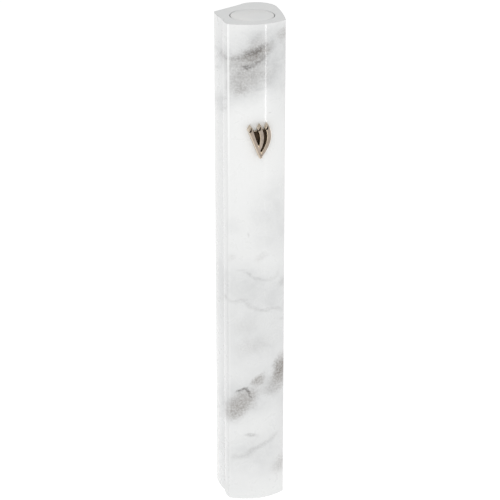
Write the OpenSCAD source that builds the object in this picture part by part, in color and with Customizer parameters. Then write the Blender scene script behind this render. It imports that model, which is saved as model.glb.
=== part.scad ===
// Mezuzah case: a fluted plastic moulding in marble foil, bored through for a
// rolled parchment and closed by a stopper at each end, with a metal letter on
// its bowed front and a strip of mounting tape on its flat back.
// +Z is up, the wall is the plane y = 0, and the front looks towards -Y and -X.

/* [Case] */
// Height of the case
case_h = 150; // [140:1:170]
// Distance from the bore's axis to the front edge on the fluted side
front_edge_reach = 9.2; // [8.8:0.1:9.4]
// Distance from the bore's axis to the crown of the bowed front
front_reach = 9.6; // [9:0.1:11]
// Radius of the bowed front, seen from above
front_r = 15; // [14:0.5:20]
// Distance from the bore's axis to the flat back
back_reach = 10.4; // [9.5:0.1:11.5]
// Angle between the bowed front and the flat back
front_cant = 30; // [20:1:35]
// Distance from the bore's axis to the plain side
side_reach = 9.3; // [8.9:0.1:9.6]
// Radius of the plain side, which swells slightly
side_r = 65; // [50:5:120]
// Radius of the rounded rear corner on the plain side
rear_corner_r = 6.1; // [5:0.1:7]
// Radius of the two front edges
edge_r = 0.8; // [0.5:0.1:1.2]

/* [Fluted side] */
// Depth of each flute
flute_depth = 0.42; // [0.2:0.02:0.6]
// Distance from the bore's axis to the ridge between the flutes
ridge_reach = 9.2; // [9:0.05:9.4]
// How far the ridge sits in front of the bore's axis
ridge_ahead = 1.5; // [0:0.1:3]
// Distance from the bore's axis to the fluted side at the back
fluted_back_reach = 9.4; // [9:0.1:9.8]

/* [Foil] */
// Thickness of the marble foil
foil_t = 0.25; // [0.15:0.05:0.4]

/* [Bore and stoppers] */
// Diameter of the bore
bore_d = 13; // [12.4:0.1:13.4]
// Length of each stopper
stopper_l = 10; // [8:0.5:12]
// Gap round the stopper's head
head_gap = 0.28; // [0.15:0.01:0.4]
// Number of sealing ribs on each stopper
rib_count = 3; // [2:1:3]
// Clearance round the sealing ribs
rib_clearance = 0.06; // [0.04:0.01:0.1]

/* [Parchment] */
// Length of the parchment roll
scroll_l = 120; // [100:1:120]
// Radius of the parchment roll
scroll_r = 5.3; // [4.5:0.1:5.4]
// Thickness of the parchment
parchment_t = 0.3; // [0.25:0.05:0.4]
// Turns in the parchment roll
scroll_turns = 4; // [3:1:4]
// Thickness of the film sleeve round the roll
sleeve_t = 0.2; // [0.15:0.05:0.25]

/* [Emblem] */
// Height of the emblem
emblem_h = 10.4; // [9:0.1:12]
// Thickness of the emblem
emblem_t = 1.7; // [1.2:0.1:2.2]
// Distance from the top of the case to the middle of the emblem
emblem_drop = 34.1; // [30:0.1:60]
// How far the emblem sits towards the fluted side of the bore's axis
emblem_shift = 1; // [0:0.1:1.5]
// Thickness of the glue under the emblem
glue_t = 0.2; // [0.1:0.05:0.3]

/* [Mounting tape] */
// Width of the mounting tape
tape_w = 9; // [6:0.5:9.5]
// Length of the mounting tape
tape_l = 130; // [60:5:135]
// Thickness of the mounting tape
tape_t = 1; // [0.8:0.1:1.6]

/* [Hidden] */
$fn = 96;

bore_r = bore_d / 2;
overcut = 1;

// Rounding steps of the section, one for each of its curves.
rear_flute_steps = 12;
front_flute_steps = 10;
edge_steps = 6;
front_steps = 32;
side_steps = 8;
corner_steps = 20;

// Stopper: a head, a narrower plug with a tapered lead-in, and sealing ribs.
head_l = 1.6;
head_edge = 0.25;
plug_r = bore_r - 0.55;
lead_in = 0.8;
rib_l = 0.9;
rib_round = 0.2;
rib_root = 1;
rib_r = bore_r - rib_clearance;
rib_pitch = (stopper_l - head_l) / (rib_count + 0.5);

// Parchment roll and its film sleeve, standing on the bottom stopper.
end_gap = 0.3;
film_gap = 0.15;
scroll_core_r = 2.4;
steps_per_turn = 30;
scroll_middle = -case_h / 2 + stopper_l + end_gap + scroll_l / 2;

// The letter is three strokes that meet at the foot, drawn about its middle.
stroke_left = [[-2.7, 3.7], [-1.15, -0.7], [0.5, -4.95]];
stroke_middle = [[0, 4], [1.48, 0.55], [-0.3, -2.6]];
stroke_right = [[2.2, 4.1], [4.05, 0.5], [0.25, -4.35]];
stroke_half = 0.7;
stroke_taper = 0.3;
stroke_steps = 14;
end_trim = 0.12;
stroke_tip = [0.1, 1.15];
drawn_h = 10.4;
letter_scale = emblem_h / drawn_h;
emblem_bevel = 0.35;
emblem_floor_t = 0.6;
glue_inset = 0.2;

// The section is drawn with the bore's axis at [0, 0] and its front towards -Y.
front_centre = [-0.4, front_r - front_reach];
corner_x = side_reach - rear_corner_r;
corner_y = (back_reach - rear_corner_r + corner_x * sin(front_cant)) / cos(front_cant);
side_centre = [side_reach - side_r, corner_y];
fluted_edge_x = -front_edge_reach + edge_r;
fluted_edge = [
    fluted_edge_x,
    front_centre.y - sqrt(pow(front_r - edge_r, 2) - pow(fluted_edge_x - front_centre.x, 2))
];
flat_end = [corner_x, corner_y] + rear_corner_r * [-sin(front_cant), cos(front_cant)];
plain_edge = lower_crossing(front_centre, front_r - edge_r, side_centre, side_r - edge_r);
ridge_flat = 0.35;

// Middle of the flat back along the wall, measured from the bore's axis.
rear_left = wall_point([-fluted_back_reach, back_line(-fluted_back_reach)]);
rear_right = wall_point(flat_end);
back_middle = (rear_left.x + rear_right.x) / 2;

function back_line(x) = (back_reach + x * sin(front_cant)) / cos(front_cant);
function wall_point(p) = [
    p.x * cos(front_cant) + p.y * sin(front_cant),
    p.y * cos(front_cant) - p.x * sin(front_cant)
];
function angle_of(v) = atan2(v.y, v.x);
function arc(centre, r, from, to, steps) = [
    for (i = [0:steps]) let (a = from + (to - from) * i / steps) centre + r * [cos(a), sin(a)]
];
function reversed(list) = [for (i = [len(list) - 1:-1:0]) list[i]];

// Where two circles cross, on the side that lies lower in Y.
function lower_crossing(c1, r1, c2, r2) =
    let (
        d = norm(c2 - c1),
        along = (r1 * r1 - r2 * r2 + d * d) / (2 * d),
        across = sqrt(r1 * r1 - along * along),
        u = (c2 - c1) / d
    )
    c1 + along * u + across * [-u.y, u.x];

// A shallow round hollow from p to q, sunk to the right of the way from p to q.
function flute(p, q, depth, steps) =
    let (
        half = norm(q - p) / 2,
        r = (half * half + depth * depth) / (2 * depth),
        u = (q - p) / norm(q - p),
        centre = (p + q) / 2 + (r - depth) * [-u.y, u.x],
        swing = asin(half / r),
        middle = angle_of((p + q) / 2 - centre)
    )
    [for (i = [0:steps]) let (a = middle - swing + 2 * swing * i / steps) centre + r * [cos(a), sin(a)]];

// The skin runs from the fluted rear edge, round the front, to the rounded rear corner.
function skin(inset) =
    let (
        rear = [-fluted_back_reach + inset, back_line(-fluted_back_reach + inset)],
        ridge_back = [-ridge_reach + inset, -ridge_ahead + ridge_flat / 2],
        ridge_front = [-ridge_reach + inset, -ridge_ahead - ridge_flat / 2],
        edge_start = fluted_edge + [-edge_r + inset, 0],
        fluted_turn = angle_of(fluted_edge - front_centre),
        plain_turn = angle_of(plain_edge - front_centre),
        plain_end = angle_of(plain_edge - side_centre)
    )
    concat(
        flute(rear, ridge_back, flute_depth, rear_flute_steps),
        flute(ridge_front, edge_start, flute_depth, front_flute_steps),
        arc(fluted_edge, edge_r - inset, 180, 360 + fluted_turn, edge_steps),
        arc(front_centre, front_r - inset, fluted_turn, plain_turn, front_steps),
        arc(plain_edge, edge_r - inset, plain_turn, plain_end, edge_steps),
        arc(side_centre, side_r - inset, plain_end, 0, side_steps),
        arc([corner_x, corner_y], rear_corner_r - inset, 0, 90 + front_cant, corner_steps)
    );

// Stands the section's axes against the wall: the flat back meets the tape.
module against_wall() {
    translate([-back_middle, -back_reach - tape_t, 0]) rotate(-front_cant) children();
}

module upright(points, height) {
    translate([0, 0, -height / 2]) linear_extrude(height) polygon(points);
}

module extruded_core() {
    color("whitesmoke") against_wall() difference() {
        upright(concat(skin(foil_t), [flat_end]), case_h);
        cylinder(h = case_h + 2 * overcut, r = bore_r, center = true);
    }
}

module marble_foil() {
    color("gainsboro") against_wall()
        upright(concat(skin(0), reversed(skin(foil_t))), case_h);
}

// A stopper with its head at z = 0 and its ribbed plug below.
module stopper() {
    head_r = bore_r - head_gap;
    rotate_extrude() polygon([
        [0, 0], [head_r - head_edge, 0], [head_r, -head_edge], [head_r, -head_l],
        [plug_r, -head_l], [plug_r, lead_in - stopper_l], [plug_r - lead_in, -stopper_l],
        [0, -stopper_l]
    ]);
    for (i = [1:rib_count])
        translate([0, 0, -head_l - i * rib_pitch]) rotate_extrude() polygon([
            [plug_r - rib_root, 0], [rib_r - rib_round, 0], [rib_r, rib_l / 2],
            [rib_r - rib_round, rib_l], [plug_r - rib_root, rib_l]
        ]);
}

module top_stopper() {
    color("ghostwhite") against_wall() translate([0, 0, case_h / 2]) stopper();
}

module bottom_stopper() {
    color("ghostwhite") against_wall() translate([0, 0, -case_h / 2]) mirror([0, 0, 1]) stopper();
}

function bezier(k, t) = (1 - t) * (1 - t) * k[0] + 2 * t * (1 - t) * k[1] + t * t * k[2];
function heading(k, t) =
    let (v = (1 - t) * (k[1] - k[0]) + t * (k[2] - k[1])) v / norm(v);
// One side of a stroke. A slimmer stroke also stops a little sooner.
function stroke_side(k, half, side) =
    let (reach = 1 - end_trim * (stroke_half - half))
    [
        for (i = [0:stroke_steps]) let (t = reach * i / stroke_steps, h = heading(k, t))
            bezier(k, t) + side * half * (1 - stroke_taper * t) * [-h.y, h.x]
    ];
// A stroke's top rises to a point.
function stroke(k, half) =
    let (tip = k[0] + stroke_tip * half / stroke_half)
    letter_scale * concat([tip], stroke_side(k, half, 1), reversed(stroke_side(k, half, -1)));

module letter(half) {
    for (k = [stroke_left, stroke_middle, stroke_right]) polygon(stroke(k, half));
}

// The sunk floor that joins the strokes below their tips.
module letter_floor() {
    polygon(letter_scale * [
        bezier(stroke_left, 0.12), bezier(stroke_middle, 0.1), bezier(stroke_right, 0.08),
        bezier(stroke_right, 0.4), bezier(stroke_right, 0.65), bezier(stroke_right, 0.93),
        bezier(stroke_left, 0.9)
    ]);
}

module on_front() {
    translate([-emblem_shift, front_centre.y, case_h / 2 - emblem_drop])
        rotate([90, 0, 0]) children();
}

module front_cylinder(r) {
    translate([front_centre.x, front_centre.y, 0])
        cylinder(h = case_h + 2 * overcut, r = r, center = true);
}

module shin_emblem() {
    seat = front_r + glue_t;
    color("darkgoldenrod") against_wall() difference() {
        on_front() {
            linear_extrude(seat + emblem_t - emblem_bevel) letter(stroke_half);
            linear_extrude(seat + emblem_t) letter(stroke_half - emblem_bevel / 2);
            linear_extrude(seat + emblem_floor_t) letter_floor();
        }
        front_cylinder(seat);
    }
}

module emblem_glue_pad() {
    color("lightyellow") against_wall() difference() {
        intersection() {
            on_front() linear_extrude(2 * front_r) letter(stroke_half - glue_inset);
            front_cylinder(front_r + glue_t);
        }
        front_cylinder(front_r);
    }
}

module mounting_tape() {
    color("white") translate([0, -tape_t / 2, 0]) cube([tape_w, tape_t, tape_l], center = true);
}

function spiral(r0, r1, turns, steps) = [
    for (i = [0:steps]) let (a = 360 * turns * i / steps, r = r0 + (r1 - r0) * i / steps)
        r * [cos(a), sin(a)]
];

module parchment_scroll() {
    steps = steps_per_turn * scroll_turns;
    inner_line = spiral(scroll_core_r - parchment_t, scroll_r - parchment_t, scroll_turns, steps);
    outer_line = spiral(scroll_core_r, scroll_r, scroll_turns, steps);
    color("wheat") against_wall() translate([0, 0, scroll_middle])
        upright(concat(outer_line, reversed(inner_line)), scroll_l);
}

module scroll_sleeve() {
    inner_r = scroll_r + film_gap;
    color("aliceblue") against_wall() translate([0, 0, scroll_middle]) difference() {
        cylinder(h = scroll_l, r = inner_r + sleeve_t, center = true);
        cylinder(h = scroll_l + 2 * overcut, r = inner_r, center = true);
    }
}

extruded_core();
marble_foil();
top_stopper();
bottom_stopper();
shin_emblem();
emblem_glue_pad();
mounting_tape();
parchment_scroll();
scroll_sleeve();
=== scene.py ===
# %% [markdown]
# # A mezuzah case in marble foil
#
# A white plastic moulding, 150 mm tall, is wrapped in a glossy marble foil. A metal letter sits
# on its bowed front, and a white stopper closes the round bore that holds a rolled parchment.
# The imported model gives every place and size, so each step reads the frame before it builds.

# %% The frame
import math

import bmesh
import bpy
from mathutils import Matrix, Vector
from mathutils.bvhtree import BVHTree
from mathutils.geometry import delaunay_2d_cdt


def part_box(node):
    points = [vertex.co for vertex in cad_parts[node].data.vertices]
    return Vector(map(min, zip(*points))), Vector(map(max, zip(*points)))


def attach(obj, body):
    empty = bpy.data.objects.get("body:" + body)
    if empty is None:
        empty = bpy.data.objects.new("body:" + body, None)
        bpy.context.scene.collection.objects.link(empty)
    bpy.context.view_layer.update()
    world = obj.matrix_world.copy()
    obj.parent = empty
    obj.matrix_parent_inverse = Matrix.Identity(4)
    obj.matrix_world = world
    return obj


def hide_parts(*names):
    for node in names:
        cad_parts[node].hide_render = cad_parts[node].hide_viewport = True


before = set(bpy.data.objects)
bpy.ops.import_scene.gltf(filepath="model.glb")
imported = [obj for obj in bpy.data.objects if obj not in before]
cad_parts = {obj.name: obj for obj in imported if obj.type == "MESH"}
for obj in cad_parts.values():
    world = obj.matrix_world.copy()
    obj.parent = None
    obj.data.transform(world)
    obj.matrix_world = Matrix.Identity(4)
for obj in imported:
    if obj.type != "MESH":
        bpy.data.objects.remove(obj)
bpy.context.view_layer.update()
MM = 0.001
case_low, case_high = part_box("extruded_core")
plug_low, plug_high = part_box("top_stopper")
top_z = case_high.z
foot_z = case_low.z
bore_x = (plug_low.x + plug_high.x) / 2
bore_y = (plug_low.y + plug_high.y) / 2
print("case from", round(foot_z / MM), "to", round(top_z / MM), "mm; bore axis at",
      round(bore_x / MM, 2), round(bore_y / MM, 2))

# %% [markdown]
# ## Reading the moulding's outline
#
# The foil is one thin sheet bent round the moulding, so its shape is the outline seen from above.
# The CAD foil already holds that outline as the edge of its top face. Walking along that edge
# gives an outer and an inner line, and the sheet lies midway between them.

# %% The outline of the foil, seen from above


def top_edge_loop(node):
    """The closed line round a node's top face, as points in the plane, in order."""
    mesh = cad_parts[node].data
    level = max(v.co.z for v in mesh.vertices)
    key = {}
    for v in mesh.vertices:
        if level - v.co.z < 0.01 * MM:
            key[v.index] = (round(v.co.x / MM, 3), round(v.co.y / MM, 3))
    uses = {}
    for face in mesh.polygons:
        corners = list(face.vertices)
        if all(i in key for i in corners):
            for a, b in zip(corners, corners[1:] + corners[:1]):
                edge = frozenset((key[a], key[b]))
                uses[edge] = uses.get(edge, 0) + 1
    neighbours = {}
    for edge, count in uses.items():
        if count == 1 and len(edge) == 2:
            a, b = edge
            neighbours.setdefault(a, []).append(b)
            neighbours.setdefault(b, []).append(a)
    start = min(neighbours)
    loop, before, here = [start], None, start
    while True:
        ahead = [p for p in neighbours[here] if p != before]
        before, here = here, ahead[0]
        if here == start:
            return [Vector(p) * MM for p in loop]
        loop.append(here)


def open_sides(loop):
    """The foil's loop split at its two cut ends: (outer line, inner line), fluted side first."""
    longest_cut, back_slack = 0.32 * MM, 0.2 * MM
    back = max(p.y for p in loop)
    cuts = []
    for i, p in enumerate(loop):
        q = loop[(i + 1) % len(loop)]
        if (q - p).length < longest_cut and back - (p.y + q.y) / 2 < back_slack:
            cuts.append(i + 1)
    first, second = cuts
    halves = [loop[first:second], loop[second:] + loop[:first]]
    halves = [h if h[0].x < h[-1].x else h[::-1] for h in halves]
    centre = Vector((bore_x, bore_y))
    halves.sort(key=lambda h: -sum((p - centre).length for p in h) / len(h))
    return halves


outer_line, inner_line = open_sides(top_edge_loop("marble_foil"))
print("outline:", len(outer_line), "outer and", len(inner_line), "inner points")

# %% [markdown]
# ## Sums on sockets
#
# A node tree is easier to read as a formula. `Value` wraps one socket and turns +, - and *
# into Math nodes. `Graph.node` adds any node: its settings come first, then its inputs, which
# are numbers or other values. The same two classes serve shaders and geometry.

# %% Graph and Value


class Value:
    """A socket that can be calculated with."""

    def __init__(self, graph, socket):
        self.graph = graph
        self.socket = socket

    def math(self, operation, a, b):
        return self.graph.node(self.graph.math_kind, {"operation": operation}, {0: a, 1: b})

    def __add__(self, other): return self.math("ADD", self, other)
    def __radd__(self, other): return self.math("ADD", other, self)
    def __sub__(self, other): return self.math("SUBTRACT", self, other)
    def __rsub__(self, other): return self.math("SUBTRACT", other, self)
    def __mul__(self, other): return self.math("MULTIPLY", self, other)
    def __rmul__(self, other): return self.math("MULTIPLY", other, self)


class Graph:
    """A node tree and the one method that adds to it."""

    math_kind = "ShaderNodeMath"

    def __init__(self, tree):
        self.tree = tree

    def node(self, kind, settings=None, inputs=None, out=0):
        made = self.tree.nodes.new(kind)
        for name, value in (settings or {}).items():
            setattr(made, name, value)
        for name, value in (inputs or {}).items():
            if isinstance(value, Value):
                self.tree.links.new(value.socket, made.inputs[name])
            else:
                made.inputs[name].default_value = value
        return Value(self, made.outputs[out])


def blend_colours(graph, amount, first, second):
    """The first colour turned into the second by amount."""
    return graph.node("ShaderNodeMix", {"data_type": "RGBA"}, {0: amount, 6: first, 7: second}, out=2)


def noise(graph, where, scale, detail=3.0, roughness=0.5, distortion=0.0, out="Fac"):
    return graph.node("ShaderNodeTexNoise", {}, {
        "Vector": where, "Scale": scale, "Detail": detail, "Roughness": roughness,
        "Distortion": distortion}, out)


def limited(graph, value, low, high, to_low=0.0, to_high=1.0):
    """value brought from low..high to to_low..to_high with soft ends."""
    return graph.node("ShaderNodeMapRange", {"interpolation_type": "SMOOTHSTEP"}, {
        "Value": value, "From Min": low, "From Max": high,
        "To Min": to_low, "To Max": to_high}, "Result")


def stretched(graph, where, scale):
    """where, squeezed or stretched along its three axes."""
    return graph.node("ShaderNodeVectorMath", {"operation": "MULTIPLY"},
                      {0: where, 1: scale})


def material(name):
    """A new material: (material, graph, its Principled BSDF node)."""
    made = bpy.data.materials.new(name)
    made.use_nodes = True
    graph = Graph(made.node_tree)
    return made, graph, made.node_tree.nodes["Principled BSDF"]


def feed(graph, shader, **inputs):
    """Sets or links sockets of a shader by name, with _ for a space."""
    for name, value in inputs.items():
        socket = shader.inputs[name.replace("_", " ")]
        if isinstance(value, Value):
            graph.tree.links.new(value.socket, socket)
        else:
            socket.default_value = value


def bump(graph, height, depth, strength=1.0):
    """A normal from a height between 0 and 1 that stands for depth in metres."""
    return graph.node("ShaderNodeBump", {}, {
        "Height": height, "Distance": depth, "Strength": strength}, "Normal")


def object_place(graph):
    return graph.node("ShaderNodeTexCoord", out="Object")


# %% [markdown]
# ## The marble foil's pattern
#
# The foil is printed, then bent round the case, so its pattern belongs to the flat sheet and not
# to the space round it. A UV map in metres runs round the case and up it. Real marble veins are
# dark mineral dust in cracks: short strokes, bent by a noise, broken up by a finer one. A vein
# is a soft ellipse on the warped sheet, in millimetres: its place round the case and up it, its
# half length and half width, its turn in degrees and its depth of tone. Patches and clouds are
# broader, so a place, a radius and a tone are enough, and one lean serves them all.

# %% Veins, patches and clouds
VEINS = [
    (3.0, 65.0, 3.4, 0.5, 4, 0.16), (9.6, 64.6, 3.2, 0.8, 6, 0.3), (4.0, 62.6, 3.6, 0.4, 24, 0.16),
    (3.4, 59.6, 3.0, 0.5, 14, 0.22), (10.5, 52.6, 2.6, 0.4, 14, 0.24), (9.5, 49.2, 4.0, 0.5, 24, 0.2),
    (2.6, 49.8, 2.4, 0.4, 20, 0.14), (15.6, 65.0, 2.6, 0.6, 6, 0.3), (19.2, 62.9, 1.1, 0.34, 8, 0.62),
    (18.4, 62.6, 0.8, 0.3, -30, 0.5), (21.4, 63.9, 3.4, 0.4, 29, 0.4), (20.0, 66.7, 2.6, 0.6, 14, 0.42),
    (22.6, 67.8, 2.2, 0.6, 26, 0.45), (25.8, 48.8, 0.3, 0.22, 0, 0.25), (19.2, 11.6, 0.28, 0.55, 0, 0.22),
    (17.2, 1.1, 1.2, 0.22, 5, 0.2), (19.3, -0.1, 1.3, 0.3, -28, 0.28), (21.6, -1.5, 1.5, 0.3, -26, 0.24),
    (24.3, -2.9, 1.9, 0.26, -18, 0.2), (26.9, -2.8, 1.2, 0.26, 16, 0.18), (28.2, -1.7, 0.9, 0.3, 60, 0.16),
    (30.0, -5.0, 1.1, 0.9, 20, 0.35), (11.6, -8.7, 0.8, 0.45, 10, 0.4), (9.4, -9.2, 2.6, 0.4, 18, 0.2),
    (14.0, -9.2, 1.8, 0.36, -8, 0.2), (17.0, -8.6, 1.8, 0.36, 14, 0.24), (19.3, -9.7, 1.3, 0.36, -42, 0.2),
    (22.0, -11.5, 2.2, 0.36, -24, 0.22), (25.4, -12.1, 2.0, 0.36, 2, 0.24),
    (28.6, -13.0, 2.4, 0.32, -20, 0.22),
    (4.5, -12.0, 4.6, 0.5, 14, 0.16), (4.0, -48.6, 3.0, 0.4, 22, 0.16), (3.6, -51.2, 4.2, 0.5, 24, 0.2),
    (10.0, -44.8, 3.4, 0.5, 24, 0.2), (10.0, -47.2, 3.4, 0.45, 26, 0.16), (17.4, -38.0, 1.4, 0.36, 24, 0.9),
    (19.2, -38.3, 1.2, 0.4, -40, 0.95), (20.2, -39.8, 0.8, 0.3, -62, 0.7),
    (20.3, -53.2, 1.9, 0.43, -12, 0.53),
    (16.2, -60.5, 2.4, 0.5, 8, 0.26), (20.0, -58.8, 2.4, 0.6, 30, 0.3), (23.4, -56.8, 1.8, 0.55, 30, 0.34),
    (26.6, -54.8, 2.2, 0.5, 26, 0.3), (37.0, 58.0, 5.0, 0.4, 20, 0.4), (41.0, 40.0, 6.0, 0.4, -24, 0.3),
    (46.0, 12.0, 7.0, 0.35, 34, 0.35), (36.0, -18.0, 6.0, 0.35, -16, 0.35), (44.0, -46.0, 6.0, 0.45, 28, 0.4),
    (52.0, 62.0, 5.0, 0.4, 30, 0.35), (54.0, -8.0, 6.0, 0.35, -26, 0.3),
]
PATCHES = [
    (16.2, 63.4, 2.6, 0.22), (17.6, 60.0, 3.0, 0.2), (19.6, 62.4, 2.4, 0.16), (16.6, 57.0, 2.4, 0.18),
    (20.6, 58.4, 3.0, 0.14), (24.2, 60.6, 2.4, 0.12),
    (19.6, 66.0, 1.5, 0.42), (21.6, 66.8, 2.0, 0.5), (23.8, 67.4, 1.6, 0.44), (22.6, 64.6, 1.6, 0.3),
    (17.6, 55.8, 1.2, 0.24), (16.4, 65.6, 1.9, 0.24), (21.8, 70.0, 1.6, 0.24), (9.6, 64.6, 1.8, 0.22),
    (30.6, 71.0, 1.6, 0.3), (16.8, -42.4, 2.3, 0.42), (15.2, -44.6, 2.6, 0.42), (14.4, -47.0, 2.0, 0.26),
    (19.4, -39.4, 2.0, 0.5), (22.2, -34.9, 1.2, 0.62), (30.4, -32.2, 2.0, 0.8), (29.8, -34.6, 1.8, 0.5),
    (29.8, -29.8, 1.6, 0.4), (28.4, -37.0, 2.6, 0.36), (30.4, -64.8, 2.2, 0.32), (18.6, -17.0, 2.4, 0.08),
    (18.0, -24.0, 2.2, 0.08), (22.6, -23.8, 2.2, 0.1), (14.4, 4.4, 0.9, 0.12), (23.0, 4.6, 1.2, 0.14),
    (36.0, -34.0, 3.6, 0.5), (42.0, 61.0, 3.6, 0.5), (47.0, -52.0, 3.2, 0.45), (50.0, 22.0, 2.6, 0.35),
]
CLOUDS = [
    (18.4, 66.6, 5.0, 0.26), (20.4, 60.0, 5.4, 0.26), (17.0, 58.0, 4.2, 0.16), (24.0, 69.0, 4.4, 0.24),
    (28.0, 68.0, 5.0, 0.2), (28.6, 60.0, 5.0, 0.2), (21.0, 73.6, 2.6, 0.1), (5.4, 63.6, 3.8, 0.14),
    (10.4, 65.0, 3.6, 0.14), (3.0, 49.4, 2.6, 0.14), (7.0, 50.0, 2.8, 0.16), (10.8, 51.8, 2.6, 0.16),
    (15.6, 53.4, 3.2, 0.1),
    (28.0, 23.0, 5.0, 0.12), (28.4, 13.0, 5.4, 0.14), (23.6, 18.0, 3.4, 0.08), (14.6, 14.4, 2.2, 0.08),
    (16.4, -3.4, 5.0, 0.14), (23.4, -6.0, 5.0, 0.14), (6.6, -4.6, 4.4, 0.12), (19.0, -16.0, 5.6, 0.12),
    (20.6, -25.0, 5.4, 0.14), (29.4, -10.0, 5.0, 0.12), (29.6, -21.0, 5.0, 0.1), (28.0, -36.0, 6.0, 0.18),
    (17.0, -41.0, 6.0, 0.2), (9.6, -45.0, 4.6, 0.14), (17.0, -59.6, 4.6, 0.1), (22.4, -57.0, 4.2, 0.12),
    (5.0, -60.0, 3.8, 0.08), (28.8, -62.0, 5.6, 0.14), (14.0, -68.0, 8.0, 0.06), (4.0, -14.0, 6.0, 0.08),
    (39.0, -34.0, 8.0, 0.2), (38.0, -48.0, 7.0, 0.16), (42.0, 58.0, 9.0, 0.24), (47.0, 12.0, 8.0, 0.14),
    (45.0, -6.0, 7.0, 0.12),
]


def faded(stroke):
    """A vein as printed: broader and fainter on the middle of the case and near its foot."""
    around, up, half_length, half_width, turn, tone = stroke
    broader, fainter = 1.0, 1.0
    if -20 < up < 6:
        broader, fainter = 1.5, 0.62
    elif up <= -50 and around < 33:
        broader, fainter = 1.4, 0.6
    return around, up, half_length, half_width * broader, turn, tone * fainter


def spread_strokes(graph, sheet, strokes, softness):
    """How much light thin strokes let through, from 1 on clear foil down to 0."""
    clear = 1.0
    for around, up, half_length, half_width, turn, tone in strokes:
        local = graph.node("ShaderNodeMapping", {"vector_type": "TEXTURE"}, {
            "Vector": sheet, "Location": (around, up, 0), "Rotation": (0, 0, math.radians(turn)),
            "Scale": (half_length, half_width, 1)})
        away = graph.node("ShaderNodeVectorMath", {"operation": "LENGTH"}, {0: local}, "Value")
        clear = limited(graph, away, 1.0 - softness, 1.0 + softness, clear * (1.0 - tone), clear)
    return clear


def spread_spots(graph, sheet, spots, softness, lean, stretch):
    """The same for broad spots, which all lean one way and are stretched along it."""
    turn = math.radians(lean)
    leaning = graph.node("ShaderNodeMapping", {"vector_type": "TEXTURE"}, {
        "Vector": sheet, "Rotation": (0, 0, turn), "Scale": (stretch, 1, 1)})
    clear = 1.0
    for around, up, radius, tone in spots:
        middle = ((around * math.cos(turn) + up * math.sin(turn)) / stretch,
                  up * math.cos(turn) - around * math.sin(turn), 0)
        away = graph.node("ShaderNodeVectorMath", {"operation": "DISTANCE"},
                          {0: leaning, 1: middle}, "Value")
        clear = limited(graph, away, radius * (1.0 - softness), radius * (1.0 + softness),
                        clear * (1.0 - tone), clear)
    return clear


def warped(graph, sheet, scale, reach, detail=2.0):
    """The sheet's coordinates, pushed about by a noise that reaches so many millimetres."""
    push = noise(graph, sheet, scale, detail, 0.55, out="Color")
    centred = graph.node("ShaderNodeVectorMath", {"operation": "SUBTRACT"},
                         {0: push, 1: (0.5, 0.5, 0.5)})
    flat = graph.node("ShaderNodeVectorMath", {"operation": "MULTIPLY"},
                      {0: centred, 1: (2 * reach, 2 * reach, 0)})
    return graph.node("ShaderNodeVectorMath", {"operation": "ADD"}, {0: sheet, 1: flat})


def valleys(line, reach):
    """Places of the creases in the first part of a line, in millimetres along it."""
    corners = list(zip(line, line[1:], line[2:]))
    turned = sum((b - a).cross(c - b) for a, b, c in corners)
    places, walked = [], 0.0
    for a, b, c in corners:
        walked += (b - a).length
        if walked > reach or (b - a).cross(c - b) * turned > 0:
            continue
        if places and walked - places[-1] < 1.0 * MM:
            places[-1] = (places[-1] + walked) / 2
        else:
            places.append(walked)
    return [place / MM for place in places]


VALLEYS = valleys(outer_line, 14 * MM)
print("valleys between the flutes, in mm:", [round(place, 2) for place in VALLEYS])

# %% The foil's material


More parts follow.
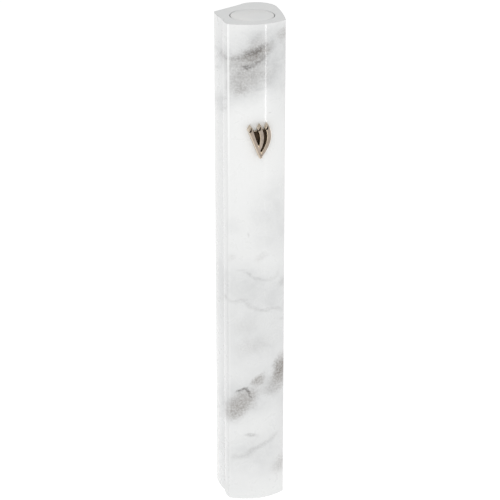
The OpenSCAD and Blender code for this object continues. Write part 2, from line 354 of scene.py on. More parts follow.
def marble_material():
    """Grey clouds, brown-grey patches and dark veins on white, with painted shade on the fluted side and in
    its valleys.
    """
    made, graph, shader = material("glossy_marble_foil")
    metres = graph.node("ShaderNodeUVMap", {"uv_map": "sheet_uv"})
    sheet = graph.node("ShaderNodeVectorMath", {"operation": "MULTIPLY"},
                       {0: metres, 1: (1 / MM, 1 / MM, 0)})
    bent = warped(graph, warped(graph, sheet, 0.16, 1.3), 0.9, 0.45, 3.0)
    ragged = warped(graph, warped(graph, sheet, 0.22, 1.6), 1.3, 0.9, 4.0)
    dust = limited(graph, noise(graph, sheet, 1.6, 6.0, 0.68), 0.3, 0.7)
    smoke = limited(graph, noise(graph, sheet, 0.28, 4.0, 0.6, 0.6), 0.3, 0.7)

    veins = (1 - spread_strokes(graph, bent, [faded(vein) for vein in VEINS], 0.8)) * (0.35 + 0.75 * dust)
    patches = (1 - spread_spots(graph, ragged, PATCHES, 0.8, 22, 1.5)) * (0.4 + 0.8 * dust)
    clouds = (1 - spread_spots(graph, ragged, CLOUDS, 0.85, 20, 1.25))
    clouds = clouds * (0.55 + 0.6 * smoke + 0.2 * dust)
    height = graph.node("ShaderNodeSeparateXYZ", {}, {"Vector": sheet}, "Y")
    along = graph.node("ShaderNodeSeparateXYZ", {}, {"Vector": sheet}, "X")
    # Painted shade: the fluted side and its valleys reflect less white than the room gives, so their colour
    # is greyed.
    shade = limited(graph, along, 13.6, 12.6, 0.0, 0.06) + limited(graph, along, 8.6, 7.4, 0.0, 0.04)
    for place in VALLEYS:
        near = limited(graph, along, place - 0.8, place) * limited(graph, along, place + 0.8, place)
        shade = shade + 0.09 * near
    haze = limited(graph, height, 35, -10, 0.0, 0.13) - limited(graph, height, -45, -75, 0.0, 0.07)

    white = (0.80, 0.805, 0.80, 1)
    cool_grey = blend_colours(graph, clouds + haze + shade, white, (0.3, 0.31, 0.32, 1))
    brown_grey = blend_colours(graph, patches, cool_grey, (0.17, 0.145, 0.122, 1))
    colour = blend_colours(graph, veins, brown_grey, (0.07, 0.062, 0.055, 1))
    # The front edge shines in a line too narrow for the lights, so a paler tint stands in for it.
    pale_edge = limited(graph, along, 13.1, 13.5) * limited(graph, along, 14.1, 13.7)
    colour = blend_colours(graph, pale_edge * limited(graph, height, 15, 50, 0.12, 0.6), colour,
                           (0.96, 0.965, 0.96, 1))
    ripple = noise(graph, sheet, 0.35, 2.0, 0.4)
    feed(graph, shader, Base_Color=colour, Roughness=0.26 + 0.08 * smoke, Coat_Weight=0.6,
         Coat_Roughness=0.07, IOR=1.46, Normal=bump(graph, ripple, 0.01 * MM))
    return made


MARBLE = marble_material()
print("marble foil:", len(VEINS), "veins,", len(PATCHES), "patches,", len(CLOUDS), "clouds")

# %% [markdown]
# ## Geometry Nodes in a script
#
# A rule is worth a node tree: the sheet is one small upright strip carried along the outline.
# The helper below makes the tree's group, gives it named inputs, and turns the result into a
# plain mesh, because other programs know nothing of modifiers.

# %% A helper for geometry trees


def geometry_tree(name, inputs):
    """A new geometry group with a mesh and some named inputs: (group, graph, input values)."""
    group = bpy.data.node_groups.new(name, "GeometryNodeTree")
    face = group.interface
    face.new_socket("Geometry", in_out="INPUT", socket_type="NodeSocketGeometry")
    for label, kind in inputs:
        face.new_socket(label, in_out="INPUT", socket_type=kind)
    face.new_socket("Geometry", in_out="OUTPUT", socket_type="NodeSocketGeometry")
    graph = Graph(group)
    source = group.nodes.new("NodeGroupInput")
    values = {s.name: Value(graph, s) for s in source.outputs if s.name}
    return group, graph, values


def close_tree(graph, geometry, finish):
    """Ends a tree: real geometry, one material, and the group's output."""
    real = graph.node("GeometryNodeRealizeInstances", {}, {"Geometry": geometry})
    done = graph.node("GeometryNodeSetMaterial", {}, {"Geometry": real, "Material": finish})
    sink = graph.tree.nodes.new("NodeGroupOutput")
    graph.tree.links.new(done.socket, sink.inputs[0])


def grown(name, start_mesh, group, sizes, sharp_from=30.0):
    """The mesh that a geometry tree makes from start_mesh, as a plain object."""
    seed = bpy.data.objects.new(name + "_seed", start_mesh)
    bpy.context.scene.collection.objects.link(seed)
    modifier = seed.modifiers.new("tree", "NODES")
    modifier.node_group = group
    for item in group.interface.items_tree:
        if item.in_out == "INPUT" and item.name in sizes:
            modifier[item.identifier] = sizes[item.name]
    bpy.context.view_layer.update()
    graph = bpy.context.evaluated_depsgraph_get()
    mesh = bpy.data.meshes.new_from_object(seed.evaluated_get(graph))
    mesh.materials.clear()
    mesh.materials.append(sizes["Finish"])
    mesh.polygons.foreach_set("material_index", [0] * len(mesh.polygons))
    bpy.data.objects.remove(seed)
    return finished(name, mesh, sharp_from)


def finished(name, mesh, sharp_from=30.0):
    """A named object for a mesh, smooth but for edges sharper than sharp_from degrees."""
    mesh.name = name
    mesh.polygons.foreach_set("use_smooth", [True] * len(mesh.polygons))
    mesh.set_sharp_from_angle(angle=math.radians(sharp_from))
    made = bpy.data.objects.new(name, mesh)
    bpy.context.scene.collection.objects.link(made)
    return made


def line_mesh(name, points, closed=False):
    """A mesh of points joined by edges."""
    mesh = bpy.data.meshes.new(name)
    edges = [(i, i + 1) for i in range(len(points) - 1)]
    if closed:
        edges.append((len(points) - 1, 0))
    mesh.from_pydata([tuple(p) for p in points], edges, [])
    return mesh


def place(piece, body, slot, *nodes):
    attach(piece, body)
    if nodes:
        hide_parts(*nodes)
    faces = sum(len(f.vertices) - 2 for f in piece.data.polygons)
    print(piece.name, "rides on", body, "with", faces, "triangles")


# %% [markdown]
# ## Strips carried along a path
#
# The foil, the rolled parchment and its film sleeve are the same idea: a sheet that stands up and
# bends along a line. Curve to Mesh carries the sheet's cross-section along that line. Its cut
# rims are slightly rounded, so they catch light. The distance walked becomes a UV map in metres.

# %% One tree for every standing sheet


def sheet_tree():
    group, graph, given = geometry_tree("standing_sheet", [
        ("Height", "NodeSocketFloat"), ("Thickness", "NodeSocketFloat"),
        ("Rim", "NodeSocketFloat"), ("Finish", "NodeSocketMaterial")])
    path = graph.node("GeometryNodeMeshToCurve", {}, {"Mesh": given["Geometry"]})
    upright = graph.node("GeometryNodeSetCurveNormal", {"mode": "Z_UP"}, {"Curve": path})
    along = graph.node("GeometryNodeSplineParameter", out="Length")
    measured = graph.node("GeometryNodeStoreNamedAttribute", {"data_type": "FLOAT"}, {
        "Geometry": upright, "Name": "around", "Value": along})
    strip = graph.node("GeometryNodeCurvePrimitiveQuadrilateral", {}, {
        "Width": given["Thickness"], "Height": given["Height"]})
    rounded = graph.node("GeometryNodeFilletCurve", {"mode": "POLY"}, {
        "Curve": strip, "Radius": given["Rim"], "Count": 3})
    sheet = graph.node("GeometryNodeCurveToMesh", {}, {
        "Curve": measured, "Profile Curve": rounded, "Fill Caps": True})
    around = graph.node("GeometryNodeInputNamedAttribute", {"data_type": "FLOAT"},
                        {"Name": "around"}, "Attribute")
    spot = graph.node("GeometryNodeInputPosition")
    height = graph.node("ShaderNodeSeparateXYZ", {}, {"Vector": spot}, "Z")
    flat = graph.node("ShaderNodeCombineXYZ", {}, {"X": around, "Y": height})
    mapped = graph.node("GeometryNodeStoreNamedAttribute",
                        {"data_type": "FLOAT2", "domain": "CORNER"},
                        {"Geometry": sheet, "Name": "sheet_uv", "Value": flat})
    close_tree(graph, mapped, given["Finish"])
    return group


SHEET = sheet_tree()
middle_line = [(a + b) / 2 for a, b in zip(outer_line, inner_line)]
on_the_bow = 40
foil_t = (outer_line[on_the_bow] - inner_line[on_the_bow]).length
foil = grown("glossy_foil", line_mesh("foil_path", [(p.x, p.y, 0.0) for p in middle_line]), SHEET,
             {"Height": top_z - foot_z, "Thickness": foil_t, "Rim": 0.07 * MM, "Finish": MARBLE},
             sharp_from=24.0)
place(foil, "case", "marble_foil", "marble_foil")

# %% [markdown]
# ## Solids built in levels
#
# Most of the other pieces are an outline that changes a little from one level to the next: a
# bevelled letter, a chamfered bore, a stopper's head. `levelled` joins the outlines with walls and
# closes both ends, and `lift` says how an outline point and a level become a point in space.

# %% Outlines and levels


def circle(radius, steps=96, centre=(0.0, 0.0)):
    turn = 2 * math.pi / steps
    return [Vector(centre) + radius * Vector((math.cos(i * turn), math.sin(i * turn)))
            for i in range(steps)]


def inset(outline, depth):
    """An anticlockwise outline moved inwards by depth, corners kept."""
    moved = []
    for i, p in enumerate(outline):
        before = (p - outline[i - 1]).normalized()
        after = (outline[(i + 1) % len(outline)] - p).normalized()
        left = [Vector((-d.y, d.x)) for d in (before, after)]
        middle = (left[0] + left[1]).normalized()
        moved.append(p + middle * depth / max(middle.dot(left[0]), 0.45))
    return moved


def round_box(width, height, radius, steps=6):
    corners = [(1, 1, 0), (-1, 1, 90), (-1, -1, 180), (1, -1, 270)]
    points = []
    for sx, sy, start in corners:
        for i in range(steps + 1):
            turn = math.radians(start + 90 * i / steps)
            points.append(Vector((sx * (width / 2 - radius) + radius * math.cos(turn),
                                  sy * (height / 2 - radius) + radius * math.sin(turn))))
    return points


def ruled(bm, levels, lift):
    """Walls between outlines at rising levels; the corners of each, bottom first."""
    rings = [[bm.verts.new(lift(p, level)) for p in outline] for outline, level in levels]
    for low, high in zip(rings, rings[1:]):
        for i in range(len(low)):
            j = (i + 1) % len(low)
            bm.faces.new((low[i], low[j], high[j], high[i]))
    return rings


def closed(bm, outlines, rings):
    """Fills the area between the first outline and any holes, which are round, in it."""
    points = [p for outline in outlines for p in outline]
    corners = [v for ring in rings for v in ring]
    edges, first = [], 0
    for outline in outlines:
        n = len(outline)
        edges += [(first + i, first + (i + 1) % n) for i in range(n)]
        first += n
    _, _, faces, origins, _, _ = delaunay_2d_cdt(points, edges, [], 1, 1e-9)
    for face in faces:
        used = [origins[i][0] for i in face]
        if len(outlines) == 1 or min(used) < len(outlines[0]):
            bm.faces.new([corners[i] for i in used])


def levelled(name, levels, lift, hole=None, sharp_from=30.0):
    """A closed solid from rising levels of an outline, with an optional hole through it."""
    bm = bmesh.new()
    rings = [ruled(bm, levels, lift)]
    ends = [levels]
    if hole:
        rings.append(ruled(bm, hole, lift))
        ends.append(hole)
    for end in (0, -1):
        closed(bm, [level[end][0] for level in ends], [ring[end] for ring in rings])
    bmesh.ops.recalc_face_normals(bm, faces=bm.faces)
    mesh = bpy.data.meshes.new(name)
    bm.to_mesh(mesh)
    bm.free()
    return finished(name, mesh, sharp_from)


def upwards(p, level):
    return (p.x, p.y, level)


# %% [markdown]
# ## The core
#
# The moulding's ends are sawn, and its bore has a small chamfer so a stopper can enter. Its
# outline is the foil's inner line, closed across the flat back.

# %% Sawn plastic core


def plastic_material():
    made, graph, shader = material("sawn_white_plastic")
    where = object_place(graph)
    saw = noise(graph, stretched(graph, where, (0.25, 1.0, 1.0)), 2600.0, 3.0, 0.6)
    mottle = noise(graph, where, 160.0, 4.0, 0.6)
    tint = blend_colours(graph, limited(graph, mottle, 0.3, 0.7, 0.0, 0.6),
                         (0.79, 0.80, 0.80, 1), (0.83, 0.83, 0.82, 1))
    feed(graph, shader, Base_Color=tint, Roughness=limited(graph, saw, 0.2, 0.8, 0.42, 0.62),
         IOR=1.49, Normal=bump(graph, saw, 0.02 * MM, 0.5))
    return made


PLASTIC = plastic_material()
RIB_CLEARANCE = 0.06 * MM
bore_r = (plug_high.x - plug_low.x) / 2 + RIB_CLEARANCE
chamfer = 0.12 * MM
mouth = circle(bore_r + chamfer, centre=(bore_x, bore_y))
pipe = circle(bore_r, centre=(bore_x, bore_y))
core = levelled("bored_core", [(inner_line, foot_z), (inner_line, top_z)], upwards,
                hole=[(mouth, foot_z), (pipe, foot_z + chamfer),
                      (pipe, top_z - chamfer), (mouth, top_z)])
core.data.materials.append(PLASTIC)
place(core, "case", "core_plastic", "extruded_core")
print("bore radius", round(bore_r / MM, 2), "mm")

# %% [markdown]
# ## The stoppers
#
# A stopper is a soft silicone plug: a flat head that fills the mouth of the bore, a narrower
# shank, and three rounded ribs that press on the bore. The ribs repeat, so a geometry tree puts
# one ring on each point of a short line and joins them to the shank.

# %% Ribbed silicone stoppers


def silicone_material():
    made, graph, shader = material("white_silicone")
    grain = noise(graph, object_place(graph), 900.0, 3.0, 0.55)
    cast = noise(graph, object_place(graph), 90.0, 2.0, 0.5)
    tint = blend_colours(graph, limited(graph, cast, 0.3, 0.7, 0.0, 1.0),
                         (0.80, 0.81, 0.81, 1), (0.84, 0.84, 0.83, 1))
    feed(graph, shader, Base_Color=tint, Roughness=limited(graph, grain, 0.2, 0.8, 0.4, 0.52),
         Normal=bump(graph, grain, 0.01 * MM, 0.5))
    return made


def rib_tree():
    group, graph, given = geometry_tree("sealing_ribs", [
        ("Count", "NodeSocketInt"), ("First", "NodeSocketVector"), ("Pitch", "NodeSocketVector"),
        ("Radius", "NodeSocketFloat"), ("Rib", "NodeSocketFloat"), ("Finish", "NodeSocketMaterial")])
    line = graph.node("GeometryNodeMeshLine", {}, {
        "Count": given["Count"], "Start Location": given["First"], "Offset": given["Pitch"]})
    ring, section = (
        graph.node("GeometryNodeCurvePrimitiveCircle", {}, {"Resolution": steps, "Radius": given[size]})
        for steps, size in ((96, "Radius"), (16, "Rib")))
    rib = graph.node("GeometryNodeCurveToMesh", {}, {"Curve": ring, "Profile Curve": section})
    ribs = graph.node("GeometryNodeInstanceOnPoints", {}, {"Points": line, "Instance": rib})
    both = graph.tree.nodes.new("GeometryNodeJoinGeometry")
    for part in (given["Geometry"], ribs):
        graph.tree.links.new(part.socket, both.inputs[0])
    close_tree(graph, Value(graph, both.outputs[0]), given["Finish"])
    return group


SILICONE = silicone_material()
RIBS = rib_tree()
HEAD_GAP = 0.28 * MM
SHANK_GAP = 0.55 * MM
HEAD_L = 1.6 * MM
RIB_R = 0.36 * MM
RIB_COUNT = 3


def stopper(name, body, node):
    """A stopper whose head closes the bore at the end where its CAD node sits."""
    low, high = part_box(node)
    up = 1 if (low.z + high.z) > 0 else -1
    face = high.z if up > 0 else low.z
    length = high.z - low.z
    head_r, shank_r = bore_r - HEAD_GAP, bore_r - SHANK_GAP
    profile = [(shank_r - 0.8 * MM, length), (shank_r - 0.25 * MM, length - 0.45 * MM),
               (shank_r, length - 0.95 * MM), (shank_r, HEAD_L + 0.08 * MM),
               (shank_r + 0.08 * MM, HEAD_L), (head_r - 0.08 * MM, HEAD_L),
               (head_r, HEAD_L - 0.08 * MM), (head_r, 0.28 * MM), (head_r - 0.03 * MM, 0.15 * MM),
               (head_r - 0.11 * MM, 0.05 * MM), (head_r - 0.24 * MM, 0.0)]
    levels = [(circle(r, centre=(bore_x, bore_y)), face - up * depth) for r, depth in profile]
    plug = levelled(name + "_shank", levels, upwards)
    pitch = (length - HEAD_L) / (RIB_COUNT + 0.5)
    first = Vector((bore_x, bore_y, face - up * (HEAD_L + pitch - 0.45 * MM)))
    made = grown(name, plug.data, RIBS, {
        "Count": RIB_COUNT, "First": first, "Pitch": Vector((0, 0, -up * pitch)),
        "Radius": bore_r - RIB_CLEARANCE - RIB_R, "Rib": RIB_R, "Finish": SILICONE})
    bpy.data.objects.remove(plug)
    place(made, body, "stopper_silicone", node)


stopper("upper_plug", "stopper", "top_stopper")
stopper("lower_plug", "case", "bottom_stopper")

# %% [markdown]
# ## The metal letter
#
# The letter is three flame-like strokes that lean together at the foot. Each stroke is a curve
# with a tapering width and a slanting tip, built as a bevelled solid that stands on the bowed
# front. The strokes are united with a low web between them, and a cylinder cuts their backs to
# the bow. Faces get one of four finishes: a brushed front, worn bevels and outer walls, dark
# brown metal as painted shade in the gaps and on the web, and near-white metal as a painted
# highlight. A wall lies in a gap if another stroke stands close in front of it. Bevels and gap
# walls that face right get the painted highlight, as if a light stood on their right.

# %% Where the letter stands
CANT = math.radians(30)
rightwards = Vector((math.cos(CANT), -math.sin(CANT)))
outwards = Vector((-math.sin(CANT), -math.cos(CANT)))


def circle_through(a, b, c):
    """Centre of the circle through three points in the plane."""
    ab, ac = b - a, c - a
    cross = 2 * (ab.x * ac.y - ab.y * ac.x)
    return a + Vector((ac.y * ab.length_squared - ab.y * ac.length_squared,
                       ab.x * ac.length_squared - ac.x * ab.length_squared)) / cross


bore = Vector((bore_x, bore_y))
crown = max(range(len(outer_line)), key=lambda i: (outer_line[i] - bore).dot(outwards))
front_centre = circle_through(outer_line[crown - 8], outer_line[crown], outer_line[crown + 8])
front_r = (outer_line[crown] - front_centre).length
letter_corners = [v.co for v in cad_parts["shin_emblem"].data.vertices]
across = [(Vector((v.x, v.y)) - front_centre).dot(rightwards) for v in letter_corners]
ahead = [(Vector((v.x, v.y)) - front_centre).dot(outwards) for v in letter_corners]
letter_top = max(v.z for v in letter_corners)
letter_foot = min(v.z for v in letter_corners)
letter_middle = (min(across) + max(across)) / 2
letter_face = max(ahead)
print("bow radius", round(front_r / MM, 2), "mm; letter", round((letter_top - letter_foot) / MM, 2),
      "mm tall, its face", round(letter_face / MM, 2), "mm ahead of the bow's centre")


def on_front(p, level):
    """Letter point p, in metres across and up, at a level ahead of the bow's centre."""
    flat = front_centre + rightwards * p.x + outwards * level
    return (flat.x, flat.y, p.y)


# %% The letter's strokes
STROKES = [
    [(-2.7, 3.7), (-1.15, -0.7), (0.5, -4.95)],
    [(0.0, 4.0), (1.48, 0.55), (-0.3, -2.6)],
    [(2.2, 4.1), (4.05, 0.5), (0.25, -4.35)],
]
STROKE_HALF = 0.7
STROKE_TAPER = 0.3
TIP = (0.1, 1.15)
NICK = [(-0.5, -0.62), (0.14, -0.4), (0.2, 0.72)]
NICK_DEPTH = 0.5 * MM
BEVEL = 0.2 * MM
BEVEL_DEPTH = 0.25 * MM
FLOOR_MARKS = [(0, 0.12), (1, 0.1), (2, 0.08), (2, 0.4), (2, 0.65), (2, 0.93), (0, 0.9)]
FLOOR_RISE = 0.8 * MM


def along_stroke(stroke, t):
    """(point, direction) at t on a stroke's middle curve."""
    a, b, c = (Vector(p) for p in stroke)
    point = (1 - t) ** 2 * a + 2 * t * (1 - t) * b + t * t * c
    return point, ((1 - t) * (b - a) + t * (c - b)).normalized()


def stroke_outline(stroke, steps=18):
    """Outline of a stroke: its tip, one side down, the other side up."""
    sides = ([], [])
    for i in range(steps + 1):
        t = i / steps
        point, way = along_stroke(stroke, t)
        half = STROKE_HALF * (1 - STROKE_TAPER * t)
        for side, points in zip((-1, 1), sides):
            points.append(point + side * half * Vector((-way.y, way.x)))
    tip = Vector(stroke[0]) + Vector(TIP)
    return [tip] + sides[0] + sides[1][::-1]


outlines = [stroke_outline(stroke) for stroke in STROKES]
drawn = [p for outline in outlines for p in outline]
drawn_low = min(p.y for p in drawn)
drawn_high = max(p.y for p in drawn)
drawn_middle = (min(p.x for p in drawn) + max(p.x for p in drawn)) / 2
letter_scale = (letter_top - letter_foot) / (drawn_high - drawn_low)


def scaled(p):
    return Vector((letter_middle + (p.x - drawn_middle) * letter_scale,
                   letter_foot + (p.y - drawn_low) * letter_scale))


def anticlockwise(outline):
    area = sum(p.x * q.y - q.x * p.y for p, q in zip(outline, outline[1:] + outline[:1]))
    return outline if area > 0 else outline[::-1]


buried = front_r - FLOOR_RISE
parts = []
for number, outline in enumerate(outlines):
    edge = anticlockwise([scaled(p) for p in outline])
    parts.append(levelled("stroke_%d" % number, [
        (edge, buried), (edge, letter_face - BEVEL_DEPTH), (inset(edge, BEVEL), letter_face)], on_front))
# The web is a dark sheet that stands in for the shade deep in the gaps; its top gets the painted shade.
floor_edge = anticlockwise([scaled(along_stroke(STROKES[i], t)[0]) for i, t in FLOOR_MARKS])
parts.append(levelled("letter_floor", [(floor_edge, buried), (floor_edge, front_r + FLOOR_RISE)], on_front))
seat_r = min((Vector((v.x, v.y)) - front_centre).length for v in letter_corners)
bow = circle(seat_r, 192, front_centre)
cutters = [levelled("bow_cutter", [(bow, letter_foot - 5 * MM), (bow, letter_top + 5 * MM)],
                    upwards)]
for number, stroke in enumerate(STROKES):
    nick = anticlockwise([scaled(Vector(stroke[0]) + Vector(p)) for p in NICK])
    wide = inset(nick, -0.08 * MM)
    cutters.append(levelled("nick_%d" % number, [
        (nick, letter_face - NICK_DEPTH), (wide, letter_face + 0.2 * MM)], on_front))


def combined(name, first, unions, cuts):
    """first joined to some solids and cut by others, as one plain object."""
    for operation, others in (("UNION", unions), ("DIFFERENCE", cuts)):
        for other in others:
            modifier = first.modifiers.new(operation.lower(), "BOOLEAN")
            modifier.operation = operation
            modifier.solver = "EXACT"
            modifier.object = other
    bpy.context.view_layer.update()
    graph = bpy.context.evaluated_depsgraph_get()
    mesh = bpy.data.meshes.new_from_object(first.evaluated_get(graph))
    for piece in [first] + unions + cuts:
        bpy.data.objects.remove(piece)
    return finished(name, mesh, 20.0)


def metal_material(name, first, second, rough_from, rough_to, metallic, scale, depth):
    made, graph, shader = material(name)
    where = object_place(graph)
    grain = noise(graph, stretched(graph, where, (1.0, 1.0, 0.35)), scale, 4.0, 0.62)
    wear = noise(graph, where, scale * 0.25, 3.0, 0.6)
    tint = blend_colours(graph, limited(graph, 0.5 * grain + 0.5 * wear, 0.35, 0.65), first, second)
    feed(graph, shader, Base_Color=tint, Roughness=limited(graph, grain, 0.3, 0.7, rough_from, rough_to),
         Metallic=metallic, Normal=bump(graph, grain, depth, 0.6))
    return made


# %% Joining the strokes, and a finish for every face
letter = combined("raised_letter", parts[0], parts[1:], cutters)
# The first finish is painted shade and the last a near-white painted highlight; brushed and worn are the
# metal's own tones.
for finish in (metal_material("painted_shade_dark_metal", (0.03, 0.018, 0.01, 1), (0.085, 0.055, 0.03, 1),
                              0.45, 0.65, 0.8, 1500.0, 0.03 * MM),
               metal_material("brushed_bronze", (0.30, 0.25, 0.205, 1), (0.42, 0.355, 0.30, 1),
                              0.34, 0.5, 1.0, 2600.0, 0.012 * MM),
               metal_material("worn_edge", (0.52, 0.43, 0.33, 1), (0.78, 0.68, 0.56, 1),
                              0.18, 0.3, 1.0, 2200.0, 0.01 * MM),
               metal_material("polished_edge", (0.84, 0.77, 0.68, 1), (0.97, 0.93, 0.88, 1),
                              0.15, 0.28, 1.0, 2200.0, 0.01 * MM)):
    letter.data.materials.append(finish)
PAINTED_SHADE, BRUSHED, WORN, PAINTED_HIGHLIGHT = range(4)
front_normal = Vector((outwards.x, outwards.y, 0.0))
gap_reach = 2.5 * MM
skin = letter.data
surface = BVHTree.FromPolygons([v.co for v in skin.vertices], [list(f.vertices) for f in skin.polygons])


def finish_of(face):
    """Which of the four finishes a face of the letter gets."""
    facing = face.normal.dot(front_normal)
    # Front faces below the letter's face, on the web and in the nicks, get painted shade.
    if facing > 0.98:
        ahead_of_bow = (face.center.xy - front_centre).dot(outwards)
        return BRUSHED if ahead_of_bow > letter_face - 0.3 * MM else PAINTED_SHADE
    # A wall with another stroke close in front of it lies in a gap and gets painted shade; right-facing
    # bevels and gap walls get the painted highlight.
    start = face.center + face.normal * 0.02 * MM
    is_open = surface.ray_cast(start, face.normal, gap_reach)[0] is None
    if face.normal.xy.dot(rightwards) > 0.35 and (facing > 0.3 or not is_open):
        return PAINTED_HIGHLIGHT
    return WORN if is_open else PAINTED_SHADE


counts = [0, 0, 0, 0]
for face in skin.polygons:
    face.material_index = finish_of(face)
    counts[face.material_index] += 1
place(letter, "case", "emblem_metal", "shin_emblem")
print("dark, brushed, worn and painted_highlight faces:", counts)

# %% [markdown]
# ## Glue, tape and the roll
#
# The glue keeps its CAD shape and gets a finish. The tape is a foam strip with round corners. The
# roll is one sheet wound four times, and its film sleeve is a closed ring round it.

# %% Glue and mounting tape


def simple_material(name, first, second, scale, rough, depth, **more):
    """Two close tones mixed by a noise that also gives the grain."""
    made, graph, shader = material(name)
    grain = noise(graph, object_place(graph), scale, 4.0, 0.6)
    tint = blend_colours(graph, limited(graph, grain, 0.35, 0.65), first, second)
    feed(graph, shader, Base_Color=tint, Roughness=rough, Normal=bump(graph, grain, depth, 0.7), **more)
    return made


GLUE = simple_material("clear_glue", (0.72, 0.70, 0.62, 1), (0.8, 0.78, 0.7, 1),
                       700.0, 0.2, 0.02 * MM, Alpha=0.85)
FOAM = simple_material("white_foam_tape", (0.70, 0.70, 0.69, 1), (0.86, 0.86, 0.85, 1),
                       1900.0, 0.85, 0.12 * MM)
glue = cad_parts["emblem_glue_pad"]
glue.data.materials.clear()
glue.data.materials.append(GLUE)

tape_low, tape_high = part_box("mounting_tape")
tape_middle = ((tape_low.x + tape_high.x) / 2, (tape_low.z + tape_high.z) / 2)


def on_wall(p, level):
    return (tape_middle[0] + p.x, level, tape_middle[1] + p.y)


strip = round_box(tape_high.x - tape_low.x, tape_high.z - tape_low.z, 1.2 * MM)
slim = inset(strip, 0.12 * MM)
tape = levelled("foam_tape", [
    (slim, tape_low.y), (strip, tape_low.y + 0.15 * MM), (strip, tape_high.y - 0.15 * MM),
    (slim, tape_high.y)], on_wall)
tape.data.materials.append(FOAM)
place(tape, "case", "foam_tape", "mounting_tape")

# %% The parchment roll and its sleeve


def parchment_material():
    made, graph, shader = material("blank_parchment")
    where = object_place(graph)
    fibre = noise(graph, stretched(graph, where, (1.0, 1.0, 0.3)), 1400.0, 5.0, 0.62)
    stain = noise(graph, where, 70.0, 4.0, 0.6, 0.4)
    cream = blend_colours(graph, limited(graph, stain, 0.35, 0.7),
                          (0.80, 0.70, 0.50, 1), (0.66, 0.52, 0.33, 1))
    tint = blend_colours(graph, limited(graph, fibre, 0.35, 0.75, 0.0, 0.35),
                         cream, (0.86, 0.79, 0.63, 1))
    feed(graph, shader, Base_Color=tint, Roughness=limited(graph, fibre, 0.3, 0.7, 0.6, 0.75),
         Normal=bump(graph, fibre, 0.05 * MM, 0.6))
    return made


def film_material():
    made, graph, shader = material("clear_film_sleeve")
    crease = noise(graph, stretched(graph, object_place(graph), (1.0, 1.0, 0.2)), 120.0, 3.0, 0.55)
    feed(graph, shader, Base_Color=(0.92, 0.94, 0.95, 1), Roughness=0.08, Coat_Weight=0.6,
         Coat_Roughness=0.04, Alpha=limited(graph, crease, 0.3, 0.7, 0.1, 0.22),
         Normal=bump(graph, crease, 0.15 * MM, 0.6))
    return made


roll_low, roll_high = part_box("parchment_scroll")
film_low, film_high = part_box("scroll_sleeve")
roll_z = (roll_low.z + roll_high.z) / 2
roll_r = (roll_high.y - roll_low.y) / 2
TURNS = 4
SHEET_T = 0.28 * MM
core_r = 2.4 * MM
spiral_steps = 64 * TURNS
spiral = []
for i in range(spiral_steps + 1):
    t = i / spiral_steps
    turn = 2 * math.pi * TURNS * t
    r = core_r + (roll_r - core_r - 0.2 * MM) * t - SHEET_T / 2
    r += 0.03 * MM * math.sin(5 * turn / TURNS) * (1 - t)
    spiral.append((bore_x + r * math.cos(turn), bore_y + r * math.sin(turn), roll_z))
roll = grown("parchment_roll", line_mesh("roll_path", spiral), SHEET, {
    "Height": roll_high.z - roll_low.z, "Thickness": SHEET_T, "Rim": 0.06 * MM,
    "Finish": parchment_material()}, sharp_from=35.0)
place(roll, "scroll", "parchment", "parchment_scroll")

film_r = (film_high.y - film_low.y) / 2
film_t = 0.16 * MM
ring = [(p.x, p.y, (film_low.z + film_high.z) / 2)
        for p in circle(film_r - film_t / 2 - 0.01 * MM, 96, (bore_x, bore_y))]
sleeve = grown("film_sleeve", line_mesh("film_path", ring, closed=True), SHEET, {
    "Height": film_high.z - film_low.z, "Thickness": film_t, "Rim": 0.04 * MM,
    "Finish": film_material()}, sharp_from=35.0)
place(sleeve, "scroll", "clear_film", "scroll_sleeve")

# %% [markdown]
# ## The studio
#
# A white room with a pale floor. A large soft light ahead and to the left makes the front
# brightest, a weak one overhead lifts the sawn end, and a faint card behind the fluted side
# touches it. Two narrow upright lights draw the thin bright line down the bowed front. The place
# where a line shows follows from the mirror rule, so the lights' direction is worked out from
# the camera and from the surface normal at that distance round the foil.

# %% Floor, world, lights and camera
scene = bpy.context.scene
scene.view_settings.view_transform = "Standard"

AZIMUTH = math.radians(-46.293)
ELEVATION = math.radians(22.422)
back = Vector((math.sin(AZIMUTH) * math.cos(ELEVATION), -math.cos(AZIMUTH) * math.cos(ELEVATION),
               math.sin(ELEVATION)))
sideways = 0.618 * MM
aim = Vector((bore_x - sideways * math.cos(AZIMUTH), bore_y - sideways * math.sin(AZIMUTH), 3.15 * MM))
lens = bpy.data.cameras.new("studio_camera")
lens.lens = 150.4
lens.sensor_width = 36.0
lens.clip_start, lens.clip_end = 0.01, 20.0
camera = bpy.data.objects.new("studio_camera", lens)
camera.location = aim + back * 617.69 * MM
camera.rotation_mode = "QUATERNION"
camera.rotation_quaternion = (-back).to_track_quat("-Z", "Y")
scene.collection.objects.link(camera)
scene.camera = camera

world = bpy.data.worlds.new("white_room")
world.use_nodes = True
world.node_tree.nodes["Background"].inputs["Color"].default_value = (1.0, 1.0, 1.0, 1)
world.node_tree.nodes["Background"].inputs["Strength"].default_value = 0.655
scene.world = world

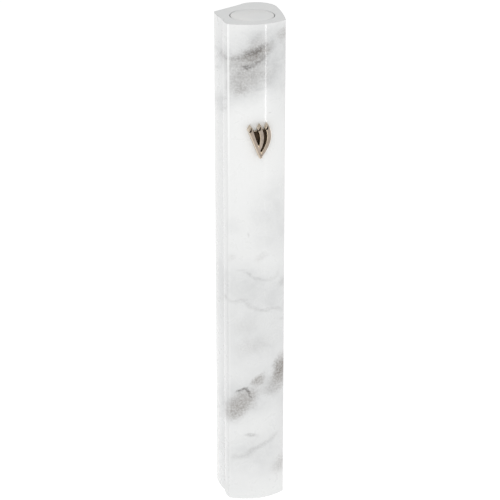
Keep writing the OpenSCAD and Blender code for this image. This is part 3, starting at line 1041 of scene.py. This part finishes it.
floor_mesh = bpy.data.meshes.new("floor")
reach = 6.0
floor_mesh.from_pydata([(-reach, -reach, foot_z), (reach, -reach, foot_z), (reach, reach, foot_z),
                        (-reach, reach, foot_z)], [], [(0, 1, 2, 3)])
floor = bpy.data.objects.new("floor", floor_mesh)
scene.collection.objects.link(floor)
pale, graph, shader = material("pale_floor")
feed(graph, shader, Base_Color=(0.9, 0.9, 0.9, 1), Roughness=0.9, Emission_Color=(1, 1, 1, 1),
     Emission_Strength=0.40)
floor_mesh.materials.append(pale)


def area_light(name, where, at, width, height, power):
    """A soft light that isn't seen itself."""
    data = bpy.data.lights.new(name, "AREA")
    data.shape = "RECTANGLE"
    data.size, data.size_y = width, height
    data.energy = power
    made = bpy.data.objects.new(name, data)
    made.location = where
    made.rotation_mode = "QUATERNION"
    made.rotation_quaternion = (Vector(at) - Vector(where)).to_track_quat("-Z", "Y")
    made.visible_camera = False
    scene.collection.objects.link(made)


def compass(azimuth, distance, height):
    """A place round the object, by compass angle in degrees, distance and height."""
    turn = math.radians(azimuth)
    return Vector((bore_x + distance * math.sin(turn), bore_y - distance * math.cos(turn), height))


area_light("soft_key", compass(-53, 0.9, 0.5), (0, 0, 0), 0.45, 0.9, 2.0)
area_light("top_fill", (0.0, -0.05, 1.0), (0, 0, 0), 0.5, 0.5, 0.8)
area_light("edge_card", compass(-140, 0.3, 0.02), (bore_x, bore_y, 0.02), 0.16, 0.05, 0.05)


def mirror_direction(around):
    """Where the camera's view goes, in the plane, off the foil at a distance round it."""
    walked = 0.0
    for a, b in zip(outer_line, outer_line[1:]):
        step = (b - a).length
        if walked + step >= around:
            spot = a.lerp(b, (around - walked) / step)
            break
        walked += step
    normal = (spot - front_centre).normalized()
    view = (Vector((camera.location.x, camera.location.y)) - spot).normalized()
    return spot, 2 * view.dot(normal) * normal - view


LINE_AROUND = 24.3 * MM
LINE_SPREAD = 0.055
line_spot, mirrored = mirror_direction(LINE_AROUND)
for name, distance, middle, tall, power in (("line_high", 0.25, 0.032, 0.08, 0.024),
                                            ("line_low", 0.12, -0.03, 0.09, 0.0016)):
    flat = line_spot + mirrored * distance
    area_light(name, (flat.x, flat.y, middle), (line_spot.x, line_spot.y, middle),
               LINE_SPREAD * distance, tall, power)
print("line light at compass", round(math.degrees(math.atan2(mirrored.x, -mirrored.y)), 1), "degrees")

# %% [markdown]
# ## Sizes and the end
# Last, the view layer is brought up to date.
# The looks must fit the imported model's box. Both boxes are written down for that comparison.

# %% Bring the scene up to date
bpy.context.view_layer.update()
